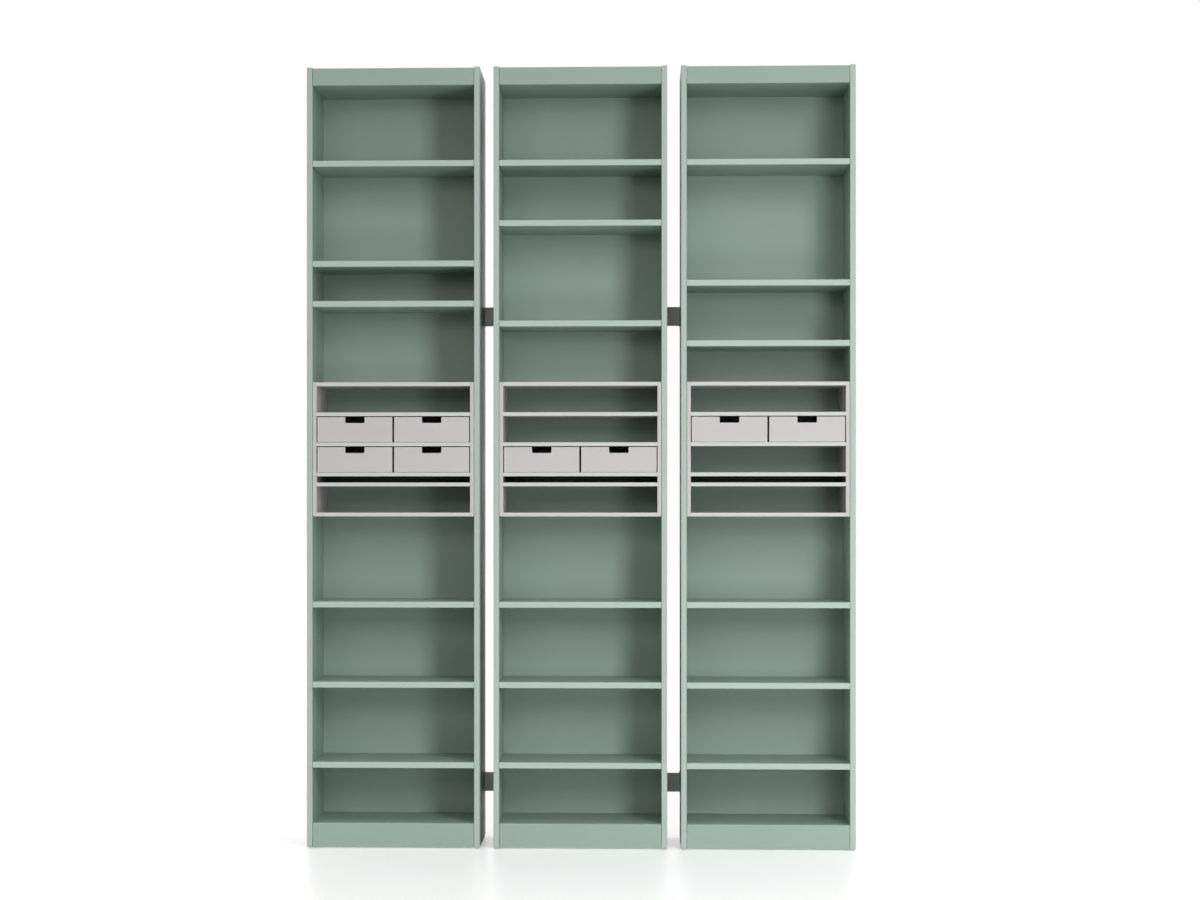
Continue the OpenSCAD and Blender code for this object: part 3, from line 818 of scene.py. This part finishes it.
def rod(name, length, radius, chamfer, sides, flute=None):
    """A round rod along Z with chamfered ends."""
    bm = bmesh.new()
    turned(bm, [(radius - chamfer, 0), (radius, chamfer), (radius, length - chamfer),
                (radius - chamfer, length)], sides=sides, flute=flute)
    return closed(bm, name)


class BOOKCASE_OT_shelf_pins(BookcaseOperator):
    """Turn the steel pins that carry the shelves"""
    bl_idname = "bookcase.shelf_pins"
    bl_label = "Shelf pins"

    def execute(self, context):
        found, length, radius = places("shelf_pins", X)
        pin = rod("shelf_pin", length, radius, chamfer=0.15 * radius, sides=20)
        fit("shelf_pins", found, pin, made("drawn_steel", metal, finish().steel, rough=0.3, mark=0.4 * MM))
        return {"FINISHED"}


class BOOKCASE_OT_frame_joints(BookcaseOperator):
    """Make the fluted dowels, the connecting bolts and the cam housings"""
    bl_idname = "bookcase.frame_joints"
    bl_label = "Frame joints"

    def execute(self, context):
        self.dowels()
        self.bolts()
        self.cams()
        return {"FINISHED"}

    def dowels(self):
        """Dowels with chamfered ends and flutes that let glue and air out"""
        found, length, radius = places("frame_dowels", X)
        dowel = rod("dowel", length, radius, chamfer=0.4 * radius, sides=32, flute=radius - sizes().flute)
        fit("frame_dowels", found, dowel, made("bare_beech", bare_beech, finish().beech))

    def bolts(self):
        """Bolts with a round head that a cam grips, a neck, a collar and a wood screw"""
        found, length, radius = places("cam_bolts", X)
        head, neck, root = 0.95 * radius, 0.6 * radius, BOLT_SCREW_RADIUS - BOLT_THREAD_DEPTH
        stop = length - BOLT_SCREW_LENGTH    # the collar ends and the screw starts here
        collar = stop - BOLT_COLLAR
        point = length - BOLT_POINT
        bm = bmesh.new()
        turned(bm, [(0.7 * radius, 0), (head, 0.8 * MM), (head, 2.4 * MM), (neck, 3.4 * MM),
                    (neck, collar - MM), (radius, collar), (radius, stop - 0.4 * MM),
                    (0.8 * radius, stop), (root, stop)], caps=(True, False))
        pitch = 1.3 * sizes().thread_pitch
        screw_end(bm, stop, point, length, root, BOLT_SCREW_RADIUS, pitch, tip=0.8 * MM)
        fit("cam_bolts", found, closed(bm, "cam_bolt"), zinc_plate())

    def cams(self):
        """Cam housings with a dished face, a groove round their middle and a driving recess"""
        found = []
        middle = (CAD_BOX[0].z + CAD_BOX[1].z) / 2
        housings, length, radius = places("cam_housings", Z)
        for start, direction in housings:
            bottom = min(start.z, start.z + direction.z * length)
            up = start.z < middle
            face = Vector((start.x, start.y, bottom if up else bottom + length))
            found.append((face, Vector((0, 0, 1 if up else -1))))
        rim = 0.4 * MM
        bm = bmesh.new()
        turned(bm, [(0.66 * radius, rim), (0.72 * radius, 0), (radius - rim, 0), (radius, rim),
                    (radius, 0.45 * length), (radius - 0.3 * MM, 0.5 * length), (radius, 0.55 * length),
                    (radius, length - rim), (radius - rim, length)], sides=32)
        mesh = cross_recess(closed(bm, "cam_housing"), reach=0.5 * radius, width=0.22 * radius, depth=4 * MM)
        fit("cam_housings", found, mesh, zinc_plate(), math.pi)


def countersunk_screw(name, length, head):
    """A countersunk wood screw along Z, its flat head at height 0, with a cross recess and a thread."""
    rim = 0.1 * MM
    shank = head / 2
    root = shank - sizes().thread_depth
    neck = 0.28 * length
    point = length - 1.4 * shank
    bm = bmesh.new()
    turned(bm, [(head - rim, 0), (head, rim), (shank, shank), (shank, neck - 0.3 * MM), (root, neck)],
           caps=(True, False))
    screw_end(bm, neck, point, length, root, shank, sizes().thread_pitch, tip=0.15 * shank)
    return cross_recess(closed(bm, name), reach=0.6 * head, width=0.22 * head, depth=0.9 * shank)


def pan_head_screw(name, length, head):
    """A pan-head screw along Z, the top of its head at height 0, with a cross recess and a thread."""
    shank, rise = head / 2, head / 2
    root = shank - sizes().thread_depth
    neck = rise + 3 * MM
    point = length - 2 * MM
    bm = bmesh.new()
    turned(bm, [(0.6 * head, 0), (0.85 * head, 0.15 * rise), (head, 0.55 * rise), (head, rise), (shank, rise),
                (shank, rise + 2.5 * MM), (root, neck)], caps=(True, False))
    screw_end(bm, neck, point, length, root, shank, sizes().thread_pitch, tip=0.15 * shank)
    return cross_recess(closed(bm, name), reach=0.5 * head, width=0.2 * head, depth=0.8 * rise)


class BOOKCASE_OT_screws(BookcaseOperator):
    """Make the screws of the inserts, the link brackets and the wall brackets"""
    bl_idname = "bookcase.screws"
    bl_label = "Screws"

    def execute(self, context):
        for node, axis, screw in (("insert_screws", X, countersunk_screw),
                                  ("link_screws", X, countersunk_screw),
                                  ("wall_bracket_screws", Z, pan_head_screw)):
            found, length, head = places(node, axis)
            fit(node, found, screw(node, length, head), zinc_plate(), math.pi)
        return {"FINISHED"}


def runs(edge, axis):
    """True if an edge runs along an axis."""
    a, b = (v.co for v in edge.verts)
    return all(abs(a[i] - b[i]) < MERGE for i in range(3) if i != axis)


def bent(node, material, axis, is_bend, thickness):
    """A copy of a steel part bent round an axis, with its bends rounded and its cut edges eased."""
    bm = merged(node)
    outer = []
    for group in solids(bm):
        low, high = corners(group)
        inside = set(group)
        outer += [e for e in sharp_edges(bm)
                  if e.verts[0] in inside and runs(e, axis) and is_bend(e.verts[0].co, low, high)]
    ease(bm, outer, sizes().bend, OUTER_BEND_STEPS)
    inner = [e for e in bm.edges if not e.is_convex and runs(e, axis) and e.calc_face_angle(0) > SHARP]
    ease(bm, inner, sizes().bend - thickness, INNER_BEND_STEPS)
    rims = [e for e in sharp_edges(bm) if e.calc_length() > SHORTEST_RIM]
    ease(bm, rims, sizes().burr, BURR_STEPS)
    place_piece(link(node + "_bent", to_mesh(bm, node)), node, material)


def at_front(point, low, high):
    """True if a point lies in the front face of the box from low to high."""
    return abs(point.y - low.y) < MERGE


def at_heel(point, low, high):
    """True if a point lies on the lower rear edge of the box from low to high."""
    return abs(point.y - high.y) < MERGE and abs(point.z - low.z) < MERGE


class BOOKCASE_OT_link_brackets(BookcaseOperator):
    """Bend and coat the steel brackets between the units"""
    bl_idname = "bookcase.link_brackets"
    bl_label = "Link brackets"

    def execute(self, context):
        coat = made("link_powder_coat", powder_coat, finish().link)
        bent("link_brackets", coat, Z, at_front, LINK_STEEL)
        return {"FINISHED"}


class BOOKCASE_OT_wall_brackets(BookcaseOperator):
    """Bend the steel angles that tie the units to a wall"""
    bl_idname = "bookcase.wall_brackets"
    bl_label = "Wall brackets"

    def execute(self, context):
        steel = made("rolled_steel", metal, finish().steel, rough=0.42, mark=0.8 * MM)
        bent("wall_brackets", steel, X, at_heel, WALL_STEEL)
        return {"FINISHED"}


class BOOKCASE_OT_glide_feet(BookcaseOperator):
    """Mould the glide feet, with a rounded sole and a barbed pin"""
    bl_idname = "bookcase.glide_feet"
    bl_label = "Glide feet"

    def execute(self, context):
        found, length, radius = places("glide_feet", Z)
        core = FOOT_PIN - PIN_STEP
        profile = [(radius - 1.2 * MM, 0), (radius - 0.4 * MM, 0.3 * MM), (radius, 1.1 * MM),
                   (radius, FOOT_SOLE - 0.3 * MM), (radius - 0.3 * MM, FOOT_SOLE), (core, FOOT_SOLE)]
        barbs = int((length - FOOT_SOLE - 2 * MM) / FOOT_BARB)
        for i in range(barbs):
            low = FOOT_SOLE + (i + 0.4) * FOOT_BARB
            profile += [(core, low), (FOOT_PIN, low + 0.1 * MM), (core, low + 0.6 * FOOT_BARB)]
        profile += [(core, length - MM), (FOOT_PIN - 1.2 * MM, length)]
        bm = bmesh.new()
        turned(bm, profile, sides=28)
        plastic = made("moulded_plastic", moulded_plastic, finish().plastic)
        fit("glide_feet", found, closed(bm, "glide_foot"), plastic)
        return {"FINISHED"}


def softbox(name, place, width, height, tone, watts):
    """A softbox that faces the middle of the bookcase."""
    lamp = bpy.data.lights.new(name, "AREA")
    lamp.shape, lamp.size, lamp.size_y = "RECTANGLE", width, height
    lamp.energy, lamp.color = watts, tone
    holder = link(name, lamp)
    holder.location = place
    holder.rotation_euler = (AIM - Vector(place)).to_track_quat("-Z", "Y").to_euler()


def floor_finish(name, settings):
    """A pale studio floor with a slight gloss, which reads as white to the camera where no shadow falls."""
    material, tree, shader, place = new_material(name, IOR=1.4, Roughness=0.32, Emission_Color=(1, 1, 1, 1))
    seen = add(tree, "ShaderNodeLightPath").outputs["Is Camera Ray"]
    away = add(tree, "ShaderNodeVectorMath", {"operation": "LENGTH"}, {0: place}).outputs["Value"]
    far = add(tree, "ShaderNodeMapRange", GRADUAL, {
        "Value": away, "From Min": FLOOR_NEAR, "From Max": FLOOR_FAR}).outputs["Result"]
    near_tone, far_tone = rgba(settings.near_bounce), rgba(settings.far_bounce)
    bounce = add(tree, "ShaderNodeMix", COLOURS, {
        FACTOR: far, COLOUR_A: near_tone, COLOUR_B: far_tone}).outputs[MIXED]
    paint = add(tree, "ShaderNodeMix", COLOURS, {
        FACTOR: seen, COLOUR_A: bounce, COLOUR_B: rgba(settings.floor)}).outputs[MIXED]
    lift = add(tree, "ShaderNodeMath", PRODUCT, {0: seen, 1: settings.floor_lift}).outputs[0]
    feed(tree, shader, Base_Color=paint, Emission_Strength=lift)
    return material


class BOOKCASE_OT_stage(BookcaseOperator):
    """Set up the floor, the room light, the softboxes and the camera"""
    bl_idname = "bookcase.stage"
    bl_label = "Stage"

    def execute(self, context):
        scene, settings = context.scene, context.scene.bookcase_stage
        scene.view_settings.view_transform = "Standard"
        self.floor(settings)
        self.room(scene, settings)
        for name, (place, width, height, tone) in SOFTBOXES.items():
            softbox(name + "_softbox", place, width, height, tone, getattr(settings, name))
        camera = bpy.data.cameras.new("camera")
        camera.lens, camera.sensor_width = CAMERA_LENS, CAMERA_SENSOR
        camera.shift_x, camera.shift_y = CAMERA_SHIFT
        camera.clip_end = CAMERA_REACH
        scene.camera = link("camera", camera)
        scene.camera.location = CAMERA_PLACE
        scene.camera.rotation_euler = (math.radians(90), 0, math.radians(CAMERA_TURN))
        return {"FINISHED"}

    def floor(self, settings):
        """A plain floor at height 0"""
        bm = bmesh.new()
        bmesh.ops.create_grid(bm, x_segments=1, y_segments=1, size=FLOOR_REACH)
        floor = link("studio_floor", to_mesh(bm, "studio_floor"))
        floor.data.materials.append(made("studio_floor", floor_finish, settings))

    def room(self, scene, settings):
        """Light from all round, brightest above and dim in front, but white to the camera and in gloss"""
        scene.world = bpy.data.worlds.new("studio")
        scene.world.use_nodes = True
        tree = scene.world.node_tree
        seen = add(tree, "ShaderNodeLightPath").outputs
        both = add(tree, "ShaderNodeMath", LARGEST, {0: seen["Is Camera Ray"], 1: seen["Is Glossy Ray"]})
        shown = add(tree, "ShaderNodeMath", LARGEST, {0: both.outputs[0], 1: seen["Is Transmission Ray"]})
        direction = add(tree, "ShaderNodeTexCoord").outputs["Generated"]
        split = add(tree, "ShaderNodeSeparateXYZ", inputs={"Vector": direction}).outputs
        around = add(tree, "ShaderNodeMapRange", GRADUAL, {
            "Value": split["Y"], "From Min": -ROOM_TURN, "From Max": ROOM_TURN,
            "To Min": settings.front_light, "To Max": settings.back_light})
        room = add(tree, "ShaderNodeMapRange", inputs={
            "Value": split["Z"], "To Min": around.outputs["Result"], "To Max": settings.top_light})
        brightness = add(tree, "ShaderNodeMix", {"data_type": "FLOAT"}, {
            FACTOR: shown.outputs[0], NUMBER_A: room.outputs["Result"], NUMBER_B: 1.0})
        background = tree.nodes["Background"]
        background.inputs["Color"].default_value = (1, 1, 1, 1)
        tree.links.new(brightness.outputs[0], background.inputs["Strength"])


class BOOKCASE_PT_panel(bpy.types.Panel):
    """Lists the steps, the sizes, the finishes and the stage"""
    bl_label = "Modular bookcase"
    bl_idname = "BOOKCASE_PT_panel"
    bl_space_type = "VIEW_3D"
    bl_region_type = "UI"
    bl_category = "Bookcase"

    def draw(self, context):
        for operator in OPERATORS:
            self.layout.operator(operator.bl_idname)
        for name, group in GROUPS.items():
            box = self.layout.box()
            for field in group.__annotations__:
                box.prop(getattr(context.scene, name), field)


GROUPS = {"bookcase_sizes": BookcaseSizes, "bookcase_finish": BookcaseFinish,
          "bookcase_stage": BookcaseStage}
OPERATORS = (BOOKCASE_OT_stage, BOOKCASE_OT_carcass, BOOKCASE_OT_back_panels, BOOKCASE_OT_shelves,
             BOOKCASE_OT_inserts, BOOKCASE_OT_drawers, BOOKCASE_OT_shelf_pins, BOOKCASE_OT_frame_joints,
             BOOKCASE_OT_screws, BOOKCASE_OT_link_brackets, BOOKCASE_OT_wall_brackets, BOOKCASE_OT_glide_feet)
CLASSES = (*GROUPS.values(), *OPERATORS, BOOKCASE_PT_panel)


def register():
    for one in CLASSES:
        bpy.utils.register_class(one)
    for name, group in GROUPS.items():
        setattr(bpy.types.Scene, name, PointerProperty(type=group))


def unregister():
    for name in GROUPS:
        delattr(bpy.types.Scene, name)
    for one in reversed(CLASSES):
        bpy.utils.unregister_class(one)


def main():
    """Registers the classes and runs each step."""
    register()
    for operator in OPERATORS:
        getattr(bpy.ops.bookcase, operator.bl_idname.split(".")[1])()


if __name__ == "__main__":
    main()
